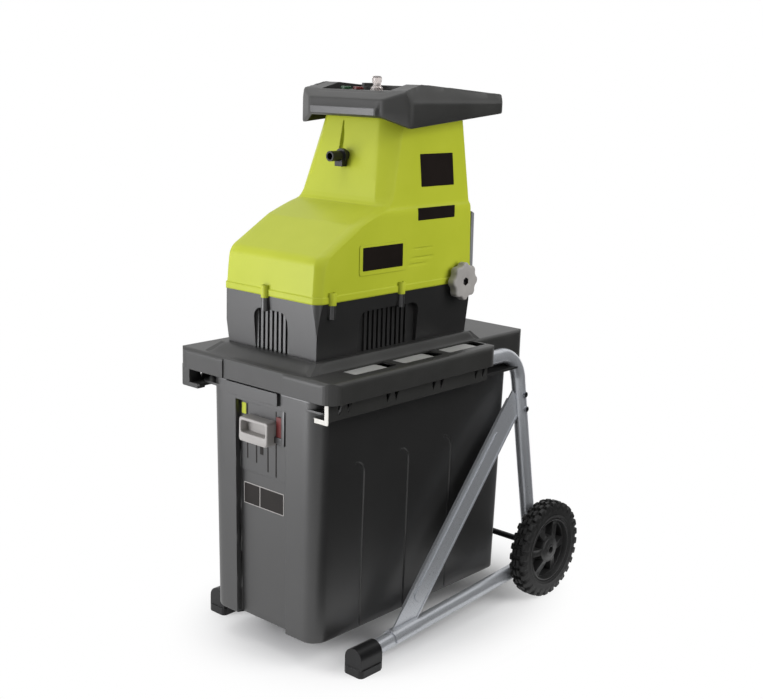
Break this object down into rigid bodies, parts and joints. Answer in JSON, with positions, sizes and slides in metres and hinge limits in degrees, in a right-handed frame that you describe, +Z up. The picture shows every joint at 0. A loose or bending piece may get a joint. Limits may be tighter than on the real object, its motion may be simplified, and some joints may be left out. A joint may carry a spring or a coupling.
{
  "type": "garden shredder",
  "caption": "Upright garden shredder: lime hood with hopper tray over a wheeled tube frame, geared cutting drum with adjustable pressure plate, and a latched slide-out collection box.",
  "frame": {"origin": "on the floor, midway across the width and midway along the length", "axes": "+X towards the adjuster knob's side, -Y towards the latch side, +Z up"},
  "size_m": [0.456, 0.706, 1.015],
  "materials": {
    "black_plastic": "fine grain, satin",
    "dark_grey_plastic": "fine grain",
    "lime_plastic": "semi-gloss moulded",
    "silver_paint": "metallic powder paint",
    "zinc_steel": "zinc plated",
    "light_grey_plastic": "fine grain",
    "wheel_plastic": "moulded",
    "tyre_rubber": "matt tread",
    "cast_aluminium": "as cast",
    "bearing_steel": "ground",
    "laminated_steel": "stacked laminations",
    "hardened_steel": "hardened and ground",
    "aluminium_plate": "machined",
    "bush_brass": "turned",
    "white_plastic": "smooth",
    "green_plastic": "gloss",
    "red_plastic": "gloss",
    "clear_boot": "translucent soft cover"
  },
  "bodies": {
    "machine": {"deck": "black_plastic", "rail_left": "black_plastic", "rail_right": "black_plastic", "top_tube_left": "silver_paint", "top_tube_right": "silver_paint", "leg_left": "silver_paint", "leg_right": "silver_paint", "skid_left": "silver_paint", "skid_right": "silver_paint", "brace_left": "silver_paint", "brace_right": "silver_paint", "foot_left": "black_plastic", "foot_right": "black_plastic", "axle": "zinc_steel", "frame_screws": "zinc_steel", "lower_housing": "dark_grey_plastic", "hood": "lime_plastic", "hood_screws": "zinc_steel", "rear_cover": "dark_grey_plastic", "cable_inlet": "black_plastic", "hopper_tray": "black_plastic", "control_panel": "black_plastic", "switch_box": "dark_grey_plastic", "feed_chute": "dark_grey_plastic", "discharge_chute": "black_plastic", "interlock_switch": "red_plastic", "motor_case": "cast_aluminium", "motor_shield": "cast_aluminium", "stator_core": "laminated_steel", "capacitor": "white_plastic", "motor_bearings": "bearing_steel", "gearbox_housing": "cast_aluminium", "gearbox_cover": "cast_aluminium", "lay_bearings": "bearing_steel", "cutter_housing": "cast_aluminium", "drum_bearings": "bearing_steel", "adjuster_bush": "bush_brass"},
    "rotor": {"motor_shaft": "bearing_steel", "rotor_core": "laminated_steel", "fan": "black_plastic"},
    "layshaft": {"layshaft": "bearing_steel", "lay_gear": "bearing_steel"},
    "drum": {"drum_shaft": "bearing_steel", "cutting_drum": "hardened_steel", "drum_gear": "bearing_steel"},
    "plate": {"pressure_plate": "aluminium_plate"},
    "adjuster": {"adjuster_screw": "bearing_steel", "adjuster_knob": "light_grey_plastic"},
    "start": {"start_button": "green_plastic"},
    "stop": {"stop_button": "red_plastic"},
    "reset": {"reset_button": "clear_boot"},
    "selector": {"selector_knob": "black_plastic"},
    "box": {"collection_box": "dark_grey_plastic", "latch_guide": "black_plastic", "latch_stop": "red_plastic"},
    "latch": {"latch_handle": "light_grey_plastic"},
    "wheel_left": {"wheel_left": "wheel_plastic", "tyre_left": "tyre_rubber"},
    "wheel_right": {"wheel_right": "wheel_plastic", "tyre_right": "tyre_rubber"}
  },
  "joints": [
    {"name": "rotor_spin", "type": "hinge", "parent": "machine", "child": "rotor", "pos_m": [0.02004, -0.1, 0.65731], "axis": [0, 1, 0], "continuous": true},
    {"name": "layshaft_spin", "type": "hinge", "parent": "machine", "child": "layshaft", "pos_m": [0.03656, -0.06, 0.69442], "axis": [0, 1, 0], "continuous": true},
    {"name": "drum_spin", "type": "hinge", "parent": "machine", "child": "drum", "pos_m": [-0.014, 0.025, 0.652], "axis": [0, 1, 0], "continuous": true},
    {"name": "adjuster_turn", "type": "hinge", "parent": "machine", "child": "adjuster", "pos_m": [0.1, 0.054, 0.652], "axis": [1, 0, 0], "range_deg": [0, 2160]},
    {"name": "plate_slide", "type": "slide", "parent": "machine", "child": "plate", "axis": [1, 0, 0], "range_m": [0, 0.0121]},
    {"name": "box_slide", "type": "slide", "parent": "machine", "child": "box", "axis": [0, -1, 0], "range_m": [0, 0.36]},
    {"name": "latch_slide", "type": "slide", "parent": "box", "child": "latch", "axis": [0, 0, -1], "range_m": [0, 0.045]},
    {"name": "wheel_left_spin", "type": "hinge", "parent": "machine", "child": "wheel_left", "pos_m": [-0.21, 0.255, 0.098], "axis": [1, 0, 0], "continuous": true},
    {"name": "wheel_right_spin", "type": "hinge", "parent": "machine", "child": "wheel_right", "pos_m": [0.21, 0.255, 0.098], "axis": [1, 0, 0], "continuous": true},
    {"name": "start_press", "type": "slide", "parent": "machine", "child": "start", "axis": [0, 0, -1], "range_m": [0, 0.003], "stiffness_N_per_m": 300, "springref_m": -0.002},
    {"name": "stop_press", "type": "slide", "parent": "machine", "child": "stop", "axis": [0, 0, -1], "range_m": [0, 0.003], "stiffness_N_per_m": 300, "springref_m": -0.002},
    {"name": "reset_press", "type": "slide", "parent": "machine", "child": "reset", "axis": [0, 0, -1], "range_m": [0, 0.003], "stiffness_N_per_m": 300, "springref_m": -0.002},
    {"name": "selector_turn", "type": "hinge", "parent": "machine", "child": "selector", "pos_m": [-0.033, -0.04, 0.99], "axis": [0, 0, 1], "range_deg": [-45, 45]}
  ],
  "couplings": [
    {"joint": "layshaft_spin", "follows": "rotor_spin", "ratio": -0.25},
    {"joint": "drum_spin", "follows": "rotor_spin", "ratio": 0.055556},
    {"joint": "plate_slide", "follows": "adjuster_turn", "m_per_rad": 0.00031831}
  ]
}
